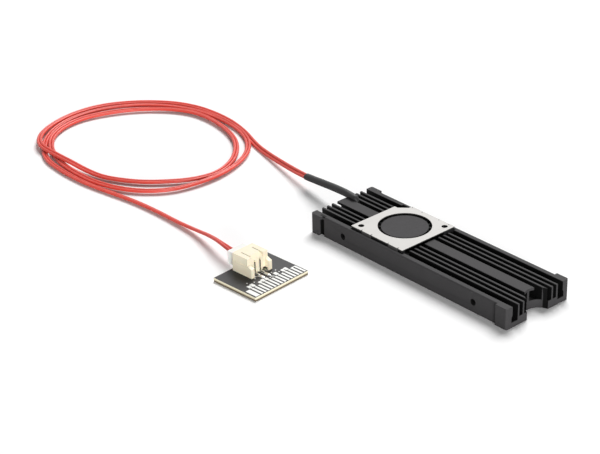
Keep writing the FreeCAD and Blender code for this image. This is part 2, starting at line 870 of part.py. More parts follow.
header = onBoard(newBody("header_housing"))
side = sketchOn(header, "XZ_Plane", "side", -shift)
outline(side, (
    (headerRear, headerFoot),
    (headerFront, headerFoot),
    (headerFront, headerFoot + size.wingFrontHeight),
    (wallFront, headerFoot + size.wingRearHeight),
    (wallFront, headerTop),
    (headerRear, headerTop),
))
feature(header, "Pad", side, size.headerWidth, middle=True)
mouth = sketchOn(header, "YZ_Plane", "mouth", headerRear)
rectangle(mouth, shift - mouthHalf, shift + mouthHalf, mouthFloor, mouthTop)
cutUp(header, mouth, wallRear - headerRear)
wings = sketchOn(header, "XY_Plane", "wings", headerFoot)
wingIn = headerHalf - size.wingWidth
rectangle(wings, wallFront, headerFront + size.wingLength, shift - wingIn, shift + wingIn)
cutUp(header, wings)
slope = sketchOn(header, "XZ_Plane", "slope", -shift)
outline(slope, (
    (wallFront - size.headerSlopeLength, headerTop),
    (wallFront, headerTop - size.headerSlopeHeight),
    (wallFront + size.wingLength, headerTop - size.headerSlopeHeight),
    (wallFront + size.wingLength, headerTop + size.headerRoof),
    (wallFront - size.headerSlopeLength, headerTop + size.headerRoof),
))
feature(header, "Pocket", slope, size.centreHalf * 2, middle=True)
for sign in (-1, 1):
    edge = sketchOn(header, "YZ_Plane", "shoulder%s" % ("Near" if sign < 0 else "Far"), headerRear)
    inner = shift + (headerHalf - size.shoulderInset) * sign
    outer = shift + (headerHalf + size.shoulderInset) * sign
    low, high = (outer, inner) if sign < 0 else (inner, outer)
    rectangle(edge, low, high, headerFoot + size.shoulderHeight, headerTop + size.headerRoof)
    cutUp(header, edge, wallFront - size.shoulderInset - headerRear)
slits = sketchOn(header, "XY_Plane", "slits", headerFoot)
for sign in (-1, 1):
    middle = shift + size.pinPitch / 2 * sign
    slitHalf = size.slitWidth / 2
    rectangle(slits, wallFront - size.slitDepth, wallFront + size.slitDepth, middle - slitHalf, middle + slitHalf)
cutUp(header, slits, size.slitTop)
roof = sketchOn(header, "XY_Plane", "roofSlots", mouthTop)
for sign in (-1, 1):
    middle = shift + size.roofSlotSpacing / 2 * sign
    rectangle(
        roof,
        headerRear + size.roofSlotStart,
        wallFront + size.headerRoof,
        middle - size.roofSlotWidth / 2,
        middle + size.roofSlotWidth / 2,
    )
cutUp(header, roof)
pinHoles = sketchOn(header, "YZ_Plane", "pinHoles", wallRear)
holeHalf = size.pinSize / 2 + size.pinFit / 2
for sign in (-1, 1):
    middle = shift + size.pinPitch / 2 * sign
    rectangle(pinHoles, middle - holeHalf, middle + holeHalf, pinMiddle - holeHalf, pinMiddle + holeHalf)
cutUp(header, pinHoles, size.headerBackWall)
windows = sketchOn(header, "XY_Plane", "windows", headerFoot)
wingMiddle = size.windowInset + size.windowWidth / 2
for sign in (-1, 1):
    middle = shift + wingMiddle * sign
    half = size.windowWidth / 2
    rectangle(windows, wallFront - size.windowRear, wallFront + size.windowFront, middle - half, middle + half)
cutUp(header, windows, size.windowHeight)

# Plug, pushed into the header's mouth from the board's rear edge.
plug = onBoard(newBody("plug_housing"))
plugHalf = mouthHalf - size.plugClearance
plugFront = wallRear - size.plugReach
plugRear = plugFront - size.plugLength
plugSide = sketchOn(plug, "YZ_Plane", "end", plugRear)
plugFoot = mouthFloor + size.plugClearance / 2
rectangle(plugSide, shift - plugHalf, shift + plugHalf, plugFoot, plugFoot + size.plugHeight)
feature(plug, "Pad", plugSide, size.plugLength)
channels = sketchOn(plug, "YZ_Plane", "channels", plugRear)
channelHalf = size.channelWidth / 2
channelRise = size.channelHeight / 2
for sign in (-1, 1):
    middle = shift + size.pinPitch / 2 * sign
    rectangle(
        channels,
        middle - channelHalf,
        middle + channelHalf,
        pinMiddle - channelRise,
        pinMiddle + channelRise,
    )
cutUp(plug, channels)

for number, sign in ((1, -1), (2, 1)):
    middle = shift + size.pinPitch / 2 * sign
    pinHalf = size.pinSize / 2

    contact = onBoard(newBody("plug_contact_%d" % number))
    tube = sketchOn(contact, "YZ_Plane", "tube", plugFront - size.contactBoxSetback - size.contactBoxLength)
    boxHalf = size.contactBoxWidth / 2
    boxRise = size.contactBoxHeight / 2
    rectangle(tube, middle - boxHalf, middle + boxHalf, pinMiddle - boxRise, pinMiddle + boxRise)
    hole = pinHalf + size.pinFit
    rectangle(tube, middle - hole, middle + hole, pinMiddle - hole, pinMiddle + hole)
    feature(contact, "Pad", tube, size.contactBoxLength)

    pin = onBoard(newBody("header_pin_%d" % number))
    bend = sketchOn(pin, "XZ_Plane", "bend", -middle)
    legBack = wallFront - size.slitDepth + size.pinFit * 2
    legFront = legBack + size.pinSize
    outline(bend, (
        (wallRear - size.pinReach, pinMiddle - pinHalf),
        (legBack, pinMiddle - pinHalf),
        (legBack, copperTop),
        (legFront + size.pinFootLength, copperTop),
        (legFront + size.pinFootLength, copperTop + size.pinFoot),
        (legFront, copperTop + size.pinFoot),
        (legFront, pinMiddle + pinHalf),
        (wallRear - size.pinReach, pinMiddle + pinHalf),
    ))
    feature(pin, "Pad", bend, size.pinSize, middle=True)

    padHalf = size.solderPadWidth / 2
    onBoard(block(
        "pin_pad_%d" % number,
        wallFront - size.slitDepth,
        wallFront - size.slitDepth + size.solderPadLength,
        middle - padHalf,
        middle + padHalf,
        size.boardThickness,
        size.copperThickness,
    ))

    anchorMiddle = shift + wingMiddle * sign
    anchorHalf = size.windowWidth / 2 - size.pinFit
    onBoard(block(
        "header_anchor_%d" % number,
        wallFront - size.windowRear + size.pinFit,
        wallFront - size.windowRear + size.pinFit + size.anchorLength,
        anchorMiddle - anchorHalf,
        anchorMiddle + anchorHalf,
        copperTop,
        size.anchorThickness,
    ))
    anchorPadHalf = size.anchorPadWidth / 2
    onBoard(block(
        "anchor_pad_%d" % number,
        wallFront - size.windowRear,
        wallFront - size.windowRear + size.anchorPadLength,
        anchorMiddle - anchorPadHalf,
        anchorMiddle + anchorPadHalf,
        size.boardThickness,
        size.copperThickness,
    ))

doc.recompute()

for thing in doc.Objects:
    if {"Invalid", "Error"} & set(thing.State):
        raise RuntimeError("failed to build: " + thing.Label)
for node in nodes:
    if node.Shape.isNull() or not node.Shape.isValid():
        raise RuntimeError("bad shape: " + node.Label)

os.makedirs("parts", exist_ok=True)
for node in nodes:
    node.Shape.exportStep("parts/%s.step" % node.Label)
print(len(nodes), "pieces written")
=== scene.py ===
import json
import math

import bmesh
import bpy
from mathutils import Matrix, Vector, noise


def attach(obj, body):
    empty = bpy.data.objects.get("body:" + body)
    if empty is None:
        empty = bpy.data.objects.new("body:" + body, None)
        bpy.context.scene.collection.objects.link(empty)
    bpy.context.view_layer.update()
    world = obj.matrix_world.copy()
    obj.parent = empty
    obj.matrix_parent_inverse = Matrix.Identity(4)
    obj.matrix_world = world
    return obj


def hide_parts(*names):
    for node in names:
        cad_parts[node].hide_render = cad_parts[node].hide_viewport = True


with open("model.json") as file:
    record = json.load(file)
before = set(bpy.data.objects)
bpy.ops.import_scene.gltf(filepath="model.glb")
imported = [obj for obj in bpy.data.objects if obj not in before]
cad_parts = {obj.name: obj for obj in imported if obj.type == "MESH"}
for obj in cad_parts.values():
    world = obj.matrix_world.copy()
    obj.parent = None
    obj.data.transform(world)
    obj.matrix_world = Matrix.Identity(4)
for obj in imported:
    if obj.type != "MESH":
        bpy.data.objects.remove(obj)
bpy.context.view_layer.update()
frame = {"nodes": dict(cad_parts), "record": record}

nodes = frame["nodes"]
mm = 0.001
up = Vector((0, 0, 1))
board = {"middle": (-27.4, -40.0), "turn": 4.2, "top": 1.2}  # where the adapter board lies: millimetres, degrees
print("cooler: frame loaded,", len(nodes), "nodes")


# Materials


def tone(red, green, blue):  # screen colour, 0 to 255, as the shader's linear colour
    linear = []
    for value in (red, green, blue):
        value /= 255
        linear.append(value / 12.92 if value <= 0.04045 else ((value + 0.055) / 1.055) ** 2.4)
    return (*linear, 1)


class Flow:  # one socket of a finish, on which sums are written as plain expressions
    def __init__(self, finish, socket):
        self.finish = finish
        self.socket = socket

    def math(self, operation, first, second=0.0, clamp=False):
        return self.finish.node("Math", {"operation": operation, "use_clamp": clamp}, {0: first, 1: second})

    def __add__(self, other):
        return self.math("ADD", self, other)

    def __radd__(self, other):
        return self.math("ADD", other, self)

    def __sub__(self, other):
        return self.math("SUBTRACT", self, other)

    def __rsub__(self, other):
        return self.math("SUBTRACT", other, self)

    def __mul__(self, other):
        return self.math("MULTIPLY", self, other)

    def __rmul__(self, other):
        return self.math("MULTIPLY", other, self)

    def __gt__(self, other):
        return self.math("GREATER_THAN", self, other)

    def __lt__(self, other):
        return self.math("LESS_THAN", self, other)

    def __abs__(self):
        return self.math("ABSOLUTE", self)

    def clamped(self):
        return self.math("ADD", self, 0.0, clamp=True)


class Finish:  # a material under construction, or the world
    def __init__(self, name, shelf=bpy.data.materials):
        self.made = shelf.new(name)
        self.made.use_nodes = True
        self.tree = self.made.node_tree
        self.tree.nodes.clear()

    def node(self, kind, settings=None, values=None, out=0):
        made = self.tree.nodes.new("ShaderNode" + kind)
        for key, value in (settings or {}).items():
            setattr(made, key, value)
        for key, value in (values or {}).items():
            if isinstance(value, Flow):
                self.tree.links.new(value.socket, made.inputs[key])
            else:
                made.inputs[key].default_value = value
        return Flow(self, made.outputs[out]) if len(made.outputs) else None

    def place(self, stretch=(1, 1, 1)):  # position on the object, in millimetres
        spot = self.node("TexCoord", out="Object")
        scale = [value / mm for value in stretch]
        return self.node("VectorMath", {"operation": "MULTIPLY"}, {0: spot, 1: scale})

    def grain(self, scale, detail, stretch=(1, 1, 1)):  # soft noise, 0 to 1, with so many spots to the millimetre
        settings = {"noise_dimensions": "3D"}
        values = {"Vector": self.place(stretch), "Scale": scale, "Detail": detail, "Roughness": 0.5}
        return self.node("TexNoise", settings, values, "Fac")

    def along(self, axis):  # place along one axis, in millimetres
        spot = self.node("TexCoord", out="Object")
        return self.node("SeparateXYZ", None, {0: spot}, axis) * (1 / mm)

    def facing(self, axis):  # the surface's own direction, -1 to 1 along one axis
        return self.node("SeparateXYZ", None, {0: self.node("NewGeometry", out="Normal")}, axis)

    def mix(self, factor, first, second):
        return self.node("Mix", {"data_type": "RGBA"}, {0: factor, 6: first, 7: second}, 2)

    def level(self, factor, low, high):  # a number that runs from low to high with the factor
        return factor * (high - low) + low

    def bump(self, height, depth, strength=1.0):  # depth in millimetres
        return self.node("Bump", None, {"Strength": strength, "Distance": depth * mm, "Height": height})

    def surface(self, **values):
        names = {
            "colour": "Base Color", "rough": "Roughness", "metal": "Metallic", "normal": "Normal",
            "specular": "Specular IOR Level", "soft": "Subsurface Weight", "softScale": "Subsurface Scale",
        }
        shader = self.node("BsdfPrincipled", None, {names[key]: value for key, value in values.items()})
        self.node("OutputMaterial", None, {0: shader})
        return self.made


# Grains are given as scale, detail and stretch, bumps as depth in millimetres and strength

sinkLook = {
    "dark": tone(58, 57, 58), "pale": tone(67, 66, 67), "rough": (0.50, 0.64), "specular": 0.09,
    "drawn": (1.2, 4, (0.05, 3.0, 3.0)),  # long faint streaks left by the die
    "blasted": (9.0, 2), "cloud": (0.12, 3), "bump": (0.010, 0.55),
    "channel": tone(14, 14, 14),  # painted shade between the fins, and in the relief slot and side holes, darker than the open faces
    "channelReach": 10.4, "finFoot": 0.1, "finTop": 6.12,
    "endFacing": 0.5,  # faces that look along the fins, the milled ends, get no painted shade
    "wallFace": 11.3,
    "reliefSlot": (-34.0, 1.0),  # the relief slot painted in shade: its middle and half its length
    "sideHole": (25.35, 3.0, 1.02),  # the side holes painted in shade: distance from the block's middle, height and radius
}


def anodised():
    s = sinkLook
    f = Finish("blackAnodised")
    drawn = f.grain(*s["drawn"])
    cloud = f.grain(*s["cloud"])
    face = f.mix((cloud * 0.6 + drawn * 0.4).clamped(), s["dark"], s["pale"])
    x, y, z = (f.along(axis) for axis in range(3))
    # painted shade: the channels between the fins take the dark channel colour
    between = (abs(y) < s["channelReach"]) * (z < s["finTop"]) * (z > s["finFoot"])
    channel = between * (abs(f.facing(0)) < s["endFacing"])
    inside = abs(y) < s["wallFace"]
    slotX, slotHalf = s["reliefSlot"]
    # painted shade in the near relief slot
    slot = inside * (y < -s["channelReach"]) * (abs(x - slotX) < slotHalf)
    holeX, holeZ, holeReach = s["sideHole"]
    fromHoleX = abs(x) - holeX
    fromHoleZ = z - holeZ
    # painted shade inside the side holes
    holeShade = inside * (fromHoleX * fromHoleX + fromHoleZ * fromHoleZ < holeReach ** 2)
    return f.surface(
        colour=f.mix((channel + slot + holeShade).clamped(), face, s["channel"]),
        rough=f.level((drawn * 0.5 + cloud * 0.5).clamped(), *s["rough"]),
        normal=f.bump(f.grain(*s["blasted"]) * 0.7 + drawn * 0.3, *s["bump"]),
        specular=s["specular"],
    )


padLook = {
    "dark": tone(128, 132, 138), "pale": tone(160, 164, 168), "cloud": (0.5, 4),
    "rough": 0.85, "pits": (4.0, 3), "depth": 0.03, "specular": 0.3,
}


def padGrey():
    s = padLook
    f = Finish("padGrey")
    return f.surface(
        colour=f.mix(f.grain(*s["cloud"]), s["dark"], s["pale"]),
        rough=s["rough"],
        normal=f.bump(f.grain(*s["pits"]), s["depth"]),
        specular=s["specular"],
    )


plasticLook = {"cloud": (0.4, 3), "fine": (2.0, 2), "pits": (14.0, 2), "bump": (0.006, 0.6), "specular": 0.3}


def blackPlastic(name, dark, pale, rough):
    s = plasticLook
    f = Finish(name)
    return f.surface(
        colour=f.mix(f.grain(*s["cloud"]), dark, pale),
        rough=f.level(f.grain(*s["fine"]), *rough),
        normal=f.bump(f.grain(*s["pits"]), *s["bump"]),
        specular=s["specular"],
    )


impellerLook = {
    "axis": (-12.55, 0.6), "hubReach": 6.62,
    "hubDark": tone(36, 34, 36), "hubPale": tone(42, 40, 42),
    "blade": tone(16, 16, 16),  # painted shade: the blades and the hub's skirt are coloured darker than its disc
    "cloud": (0.4, 3), "fine": (2.0, 2), "rough": (0.5, 0.62),
    "pits": (14.0, 2), "bump": (0.008, 0.7), "specular": 0.14,
}


def impellerGrey():
    s = impellerLook
    f = Finish("impellerGrey")
    axisX, axisY = s["axis"]
    outX = f.along(0) - axisX
    outY = f.along(1) - axisY
    # painted shade on everything outside the hub's disc
    blades = outX * outX + outY * outY > s["hubReach"] ** 2
    disc = f.mix(f.grain(*s["cloud"]), s["hubDark"], s["hubPale"])
    return f.surface(
        colour=f.mix(blades, disc, s["blade"]),
        rough=f.level(f.grain(*s["fine"]), *s["rough"]),
        normal=f.bump(f.grain(*s["pits"]), *s["bump"]),
        specular=s["specular"],
    )


coverLook = {
    "pale": tone(197, 195, 192), "dark": tone(189, 187, 184), "rough": (0.5, 0.62),
    "cut": tone(74, 73, 72), "cutFacing": 0.5,  # painted shade on punched edges and folded tabs, which face sideways
    "rolled": (2.0, 4, (0.12, 2.5, 2.5)), "cloud": (0.25, 3), "bump": (0.004, 0.5),
    "metal": 0.12, "specular": 0.2,
}


def satinSheet():
    s = coverLook
    f = Finish("satinSheet")
    rolled = f.grain(*s["rolled"])
    cloud = f.grain(*s["cloud"])
    face = f.mix((rolled * 0.5 + cloud * 0.5).clamped(), s["dark"], s["pale"])
    # painted shade on the faces that look sideways
    cut = abs(f.facing(2)) < s["cutFacing"]
    return f.surface(
        colour=f.mix(cut, face, s["cut"]),
        rough=f.level(rolled, *s["rough"]),
        normal=f.bump(rolled, *s["bump"]),
        metal=s["metal"],
        specular=s["specular"],
    )


metalLook = {"detail": 4, "finer": 4, "fineDetail": 2, "strength": 0.6}  # finer: times the scale, for the bump


def metal(name, dark, pale, rough, scale=2.0, stretch=(1, 1, 1), depth=0.004):
    s = metalLook
    f = Finish(name)
    cloud = f.grain(scale, s["detail"], stretch)
    return f.surface(
        colour=f.mix(cloud, dark, pale),
        rough=f.level(cloud, *rough),
        normal=f.bump(f.grain(scale * s["finer"], s["fineDetail"], stretch), depth, s["strength"]),
        metal=1.0,
    )


insulationLook = {
    "pale": tone(226, 80, 66), "deep": tone(210, 66, 54), "cloud": (0.35, 3),
    "fine": (5.0, 2), "rough": (0.30, 0.42), "bump": (0.006, 0.5),
    "specular": 0.42, "soft": 0.08, "softScale": 0.0008,
}


def insulation():
    s = insulationLook
    f = Finish("redInsulation")
    fine = f.grain(*s["fine"])
    return f.surface(
        colour=f.mix(f.grain(*s["cloud"]), s["deep"], s["pale"]),
        rough=f.level(fine, *s["rough"]),
        normal=f.bump(fine, *s["bump"]),
        specular=s["specular"],
        soft=s["soft"],
        softScale=s["softScale"],
    )


sleeveLook = {
    "dark": tone(18, 18, 19), "pale": tone(30, 30, 31), "crease": (0.8, 4, (0.5, 1.6, 1.6)),
    "rough": (0.42, 0.56), "bump": (0.05, 0.6), "specular": 0.3,
}


def shrinkTube():
    s = sleeveLook
    f = Finish("shrinkTube")
    crease = f.grain(*s["crease"])
    return f.surface(
        colour=f.mix(crease, s["dark"], s["pale"]),
        rough=f.level(crease, *s["rough"]),
        normal=f.bump(crease, *s["bump"]),
        specular=s["specular"],
    )


mouldedLook = {
    "cloud": (0.3, 3), "fine": (1.5, 2), "pits": (10.0, 2), "bump": (0.006, 0.5),
    "specular": 0.45, "softScale": 0.001,
}


def moulded(name, pale, deep, rough, soft):
    s = mouldedLook
    f = Finish(name)
    return f.surface(
        colour=f.mix(f.grain(*s["cloud"]), deep, pale),
        rough=f.level(f.grain(*s["fine"]), *rough),
        normal=f.bump(f.grain(*s["pits"]), *s["bump"]),
        specular=s["specular"],
        soft=soft,
        softScale=s["softScale"],
    )


headerLook = {
    "pale": tone(241, 233, 210), "deep": tone(235, 223, 194), "rough": (0.4, 0.55), "soft": 0.1, "softScale": 0.0006,
    "hollowShade": tone(58, 50, 38),  # painted shade in the cavity, slits and foot openings
    "alongRange": (-7.15, -1.52), "slopeEnd": -2.75,  # along the board: the shaded cavity's ends, and where its roof drops
    "middle": 0.2, "halfWidth": 3.68, "lowRoof": 4.5, "highRoof": 6.48,
}


def headerIvory():
    s, m = headerLook, mouldedLook
    f = Finish("headerIvory")
    turn = math.radians(board["turn"])
    x = f.along(0) - board["middle"][0]
    y = f.along(1) - board["middle"][1]
    z = f.along(2)
    along = x * math.cos(turn) + y * math.sin(turn)
    across = y * math.cos(turn) - x * math.sin(turn)
    back, front = s["alongRange"]
    within = (along > back) * (along < front) * (abs(across - s["middle"]) < s["halfWidth"])
    under = (z < s["lowRoof"]) + (along < s["slopeEnd"]) * (z < s["highRoof"])
    # painted shade filling the header's cavity
    hollowShade = (within * under).clamped()
    return f.surface(
        colour=f.mix(hollowShade, f.mix(f.grain(*m["cloud"]), s["deep"], s["pale"]), s["hollowShade"]),
        rough=f.level(f.grain(*m["fine"]), *s["rough"]),
        normal=f.bump(f.grain(*m["pits"]), *m["bump"]),
        specular=m["specular"],
        soft=s["soft"],
        softScale=s["softScale"],
    )


boardLook = {
    "dark": tone(18, 17, 18), "pale": tone(26, 24, 26), "cloud": (0.3, 3), "rough": (0.42, 0.7), "specular": 0.26,
    "warp": (3.0, 2, (1, 0.2, 1)), "weft": (3.0, 2, (0.2, 1, 1)), "bump": (0.006, 0.5),
    "laminate": tone(240, 232, 204), "laminateShade": tone(104, 88, 66), "plies": (1.2, 3, (0.4, 0.4, 6.0)),
    "shadeMiddle": 0.16, "shadeDepth": 1.3, "shadeFall": 2.4,  # painted shade: the board's edge darker below its middle, with the plies' own faint streaks
    "sideFacing": 0.6,
}


def solderMask():
    s = boardLook
    f = Finish("solderMask")
    weave = f.grain(*s["warp"]) * 0.5 + f.grain(*s["weft"]) * 0.5
    top = f.mix(f.grain(*s["cloud"]), s["dark"], s["pale"])
    # painted shade, darker towards the bottom of the board's edge
    edgeShade = s["shadeDepth"] - abs(f.along(2) - s["shadeMiddle"]) * s["shadeFall"]
    edge = f.mix((edgeShade * 0.9 + f.grain(*s["plies"]) * 0.3).clamped(), s["laminate"], s["laminateShade"])
    side = abs(f.facing(2)) < s["sideFacing"]
    return f.surface(
        colour=f.mix(side, top, edge),
        rough=f.level(side, *s["rough"]),
        normal=f.bump(weave, *s["bump"]),
        specular=s["specular"],
    )


finishes = {
    "black_anodised": anodised(),
    "pad_grey": padGrey(),
    "fan_black": blackPlastic("fanBlack", tone(20, 20, 21), tone(28, 28, 29), (0.42, 0.55)),
    "cover_metal": satinSheet(),
    "impeller_grey": impellerGrey(),
    "steel": metal("groundSteel", tone(168, 168, 170), tone(206, 206, 208), (0.22, 0.36)),
    "magnet_black": blackPlastic("magnetBlack", tone(34, 34, 36), tone(46, 46, 48), (0.55, 0.7)),
    "bearing_bronze": metal("sinteredBronze", tone(150, 108, 62), tone(196, 150, 92), (0.4, 0.55), 6.0, depth=0.01),
    "washer_white": moulded("washerWhite", tone(232, 230, 222), tone(214, 210, 200), (0.3, 0.4), 0.1),
    "lamination": metal("lamination", tone(112, 114, 118), tone(146, 148, 152), (0.4, 0.6), 2.0, (0.3, 0.3, 8), 0.02),
    "copper": metal("enamelledCopper", tone(150, 72, 36), tone(214, 120, 70), (0.22, 0.34), 3.0, (1, 1, 6), 0.03),
    "motor_board_green": moulded("motorBoardGreen", tone(34, 92, 58), tone(22, 70, 42), (0.25, 0.35), 0.0),
    "chip_black": blackPlastic("chipBlack", tone(24, 24, 25), tone(34, 34, 36), (0.45, 0.6)),
    "solder": metal("solder", tone(190, 190, 188), tone(226, 226, 224), (0.15, 0.3)),
    "lead_red": insulation(),
    "wire_black": blackPlastic("wireBlack", tone(20, 20, 21), tone(30, 30, 31), (0.35, 0.45)),
    "sleeve_black": shrinkTube(),
    "plug_white": moulded("plugWhite", tone(246, 246, 242), tone(236, 236, 230), (0.36, 0.5), 0.15),
    "header_ivory": headerIvory(),
    "contact_tin": metal("contactTin", tone(176, 176, 174), tone(220, 220, 218), (0.22, 0.36)),
    "board_black": solderMask(),
    "edge_contact": metal("platedContact", tone(150, 150, 148), tone(172, 172, 170), (0.46, 0.6), 3.0),
}
slotOf = {entry["node"]: entry["material_slot"] for entry in frame["record"]["subparts"]}
edges = {
    "weld": 0.002, "segments": 2, "angle": 38,  # nearer points are joined, then sharper corners are eased
    "widths": {  # how far each visible piece's edges are eased, in millimetres
        "heat_sink": 0.07, "fan_cover": 0.06, "fan_housing": 0.1, "impeller": 0.06, "header_housing": 0.14,
        "plug_housing": 0.12, "adapter_board": 0.06, "thermal_pad": 0.1, "header_pin_1": 0.05, "header_pin_2": 0.05,
        "header_anchor_1": 0.05, "header_anchor_2": 0.05, "motor_board": 0.04, "driver_chip": 0.05,
    },
}
for name, piece in nodes.items():
    for slot in piece.material_slots:
        slot.material = finishes[slotOf[name]]
    if name in edges["widths"]:
        weld = piece.modifiers.new("weld", "WELD")
        weld.merge_threshold = edges["weld"] * mm
        ease = piece.modifiers.new("ease", "BEVEL")
        ease.width = edges["widths"][name] * mm
        ease.segments = edges["segments"]
        ease.limit_method = "ANGLE"
        ease.angle_limit = math.radians(edges["angle"])
        ease.harden_normals = False
print("cooler: finishes on the carried-over pieces")


# Small mesh tools


def meshPiece(name, points, faces, slot, smooth, body="cooler"):  # edges flatter than the angle smooth are shaded round
    mesh = bpy.data.meshes.new(name)
    mesh.from_pydata([tuple(point) for point in points], [], faces)
    mesh.validate()
    work = bmesh.new()
    work.from_mesh(mesh)
    bmesh.ops.recalc_face_normals(work, faces=work.faces)
    work.to_mesh(mesh)
    work.free()
    mesh.materials.append(finishes[slot])
    piece = bpy.data.objects.new(name, mesh)
    bpy.context.scene.collection.objects.link(piece)
    for polygon in mesh.polygons:
        polygon.use_smooth = True
    mesh.set_sharp_from_angle(angle=math.radians(smooth))
    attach(piece, body)
    return piece


def tubeRings(points, faces, rings):  # skins a row of equal rings and closes both ends
    first = len(points)
    count = len(rings[0])
    for ring in rings:
        points.extend(ring)
    for row in range(len(rings) - 1):
        for index in range(count):
            after = (index + 1) % count
            a = first + row * count
            b = a + count
            faces.append((a + index, a + after, b + after, b + index))
    faces.append(tuple(first + index for index in range(count)))
    last = first + (len(rings) - 1) * count
    faces.append(tuple(last + index for index in range(count)))


def easeBetween(value, table):  # smooth value from a short table of (place, value)
    if value <= table[0][0]:
        return table[0][1]
    for (low, first), (high, second) in zip(table, table[1:]):
        if value <= high:
            share = (value - low) / (high - low)
            share = share * share * (3 - 2 * share)
            return first + (second - first) * share
    return table[-1][1]


# Lead: two red wires side by side, from the blower's sleeve to the plug

lead = {
    "wireWidth": 0.96,
    "sides": 12,
    "pitch": 0.93,  # between the two wires' middles
    "plugPitch": 1.5,
    "spread": (1.0, 3.0),  # the wires part between these distances from the plug
    "mouthLength": 1.2,  # the wires end inside the sleeve's mouth
    "length": 0.65,  # as declared, in metres
    "lineOrder": 3,
    "lineSteps": 8,  # between two of the points below
    "start": (
        (-35.1, 2.6, 6.8),
        (-38.6, 2.75, 6.9),
        (-44.0, 3.4, 6.35),
        (-51.7, 4.55, 5.1),
        (-59.6, 5.8, 3.7),
        (-66.2, 7.1, 2.85),
        (-72.3, 8.45, 2.15),
        (-77.9, 9.7, 1.6),
        (-83.0, 10.85, 1.15),
        (-87.6, 11.95, 0.8),
        (-91.6, 12.95, 0.62),
    ),
    "finish": (
        (-91.5, -38.5, 0.5),
        (-85.0, -37.6, 0.5),
        (-77.0, -37.1, 0.5),
        (-68.5, -37.1, 0.6),
        (-60.0, -37.1, 1.2),
        (-52.0, -38.0, 2.7),
        (-44.0, -39.9, 3.98),
        (-37.5, -40.54, 4.0),
    ),
    "roll": (  # how far the pair is rolled over, in degrees, at shares of the lead's length
        (0.0, -14), (0.034, -24), (0.055, -44), (0.085, -38), (0.12, -8), (0.18, -8), (0.25, 12),
        (0.33, 0), (0.42, 16), (0.5, -10), (0.58, 8), (0.66, -14), (0.75, 10), (0.83, 0),
        (0.9, -16), (0.95, -30), (0.985, -28), (0.998, 0), (1.0, 0),
    ),
    "settles": (45, 70),  # distances along the lead where a rolled pair comes to rest on its lower wire
}
loops = {
    "centre": (-117.0, -11.0),
    "firstAngle": 50,
    "step": 15,
    "radii": (  # distance of the lead from the middle, one step apart
        33.1, 31.3, 30.6, 30.5, 31.4, 32.4, 33.1, 34.3, 35.9, 36.5, 36.5, 36.1,
        34.4, 29.2, 26.6, 25.6, 25.7, 25.8, 26.7, 27.8, 30.1, 31.6, 30.6, 29.1,
        28.0, 26.9, 26.4, 26.8, 27.6, 27.7, 27.8, 28.4, 29.4, 31.2, 32.1, 32.1,
        30.8, 29.2, 28.5, 28.5, 29.7, 31.3, 32.9, 33.8, 33.2, 33.0, 32.8, 32.7,
        32.0, 30.7, 29.6, 29.0, 29.2, 29.8, 30.8, 32.0, 33.1, 34.1, 34.2, 33.8,
        33.0, 32.5, 31.0, 30.9, 32.2,
    ),
    "over": ((205, 0.0), (228, 1.0), (262, 1.0), (285, 0.0)),  # first turn lies over the others
    "rise": 1.05,  # how much higher it runs there
    "floor": 0.55,  # height of the wires' middles where a turn lies flat
    "lift": (  # height of the turns over their lowest places, at a few angles
        (50, 0.1), (95, 0.4), (150, 0.5), (205, 0.4), (250, 0.15), (300, 0.4), (345, 0.5),
        (400, 0.25), (450, 0.35), (505, 0.45), (560, 0.3), (610, 0.15), (660, 0.4), (705, 0.5),
        (760, 0.15), (815, 0.3), (865, 0.45), (920, 0.25), (965, 0.1), (1010, 0.0),
    ),
    "towardView": (1.436, -1.235),  # ground shift for each millimetre of lift that keeps a turn where it is seen
}


def leadPoints():
    points = [Vector(point) for point in lead["start"]]
    for index, radius in enumerate(loops["radii"]):
        angle = loops["firstAngle"] + loops["step"] * index
        turn = math.radians(angle)
        lift = easeBetween(angle, loops["lift"])
        z = loops["floor"] + loops["rise"] * easeBetween(angle, loops["over"]) + lift
        x, y = (place + lift * shift for place, shift in zip(loops["centre"], loops["towardView"]))
        points.append(Vector((x + radius * math.cos(turn), y + radius * math.sin(turn), z)))
    points += [Vector(point) for point in lead["finish"]]
    return [point * mm for point in points]


def middleLine(name, controls):  # smooth line through the neighbourhood of its control points
    data = bpy.data.curves.new(name, "CURVE")
    data.dimensions = "3D"
    data.resolution_u = lead["lineSteps"]
    spline = data.splines.new("NURBS")
    spline.points.add(len(controls) - 1)
    for point, place in zip(spline.points, controls):
        point.co = (*place, 1)
    spline.order_u = lead["lineOrder"]
    spline.use_endpoint_u = True
    holder = bpy.data.objects.new(name, data)
    mesh = bpy.data.meshes.new_from_object(holder)
    line = [vertex.co.copy() for vertex in mesh.vertices]
    bpy.data.meshes.remove(mesh)
    bpy.data.objects.remove(holder)
    bpy.data.curves.remove(data)
    return line


line = middleLine("leadLine", leadPoints())
travel = [0.0]
for before, after in zip(line, line[1:]):
    travel.append(travel[-1] + (after - before).length)
total = travel[-1]
tangents = []
for index in range(len(line)):
    tangents.append((line[min(index + 1, len(line) - 1)] - line[max(index - 1, 0)]).normalized())
print("cooler: lead is", round(total * 1000), "mm long")


def across(index):  # sideways and upward directions of the flat pair at one place
    side = up.cross(tangents[index]).normalized()
    return side, tangents[index].cross(side).normalized()


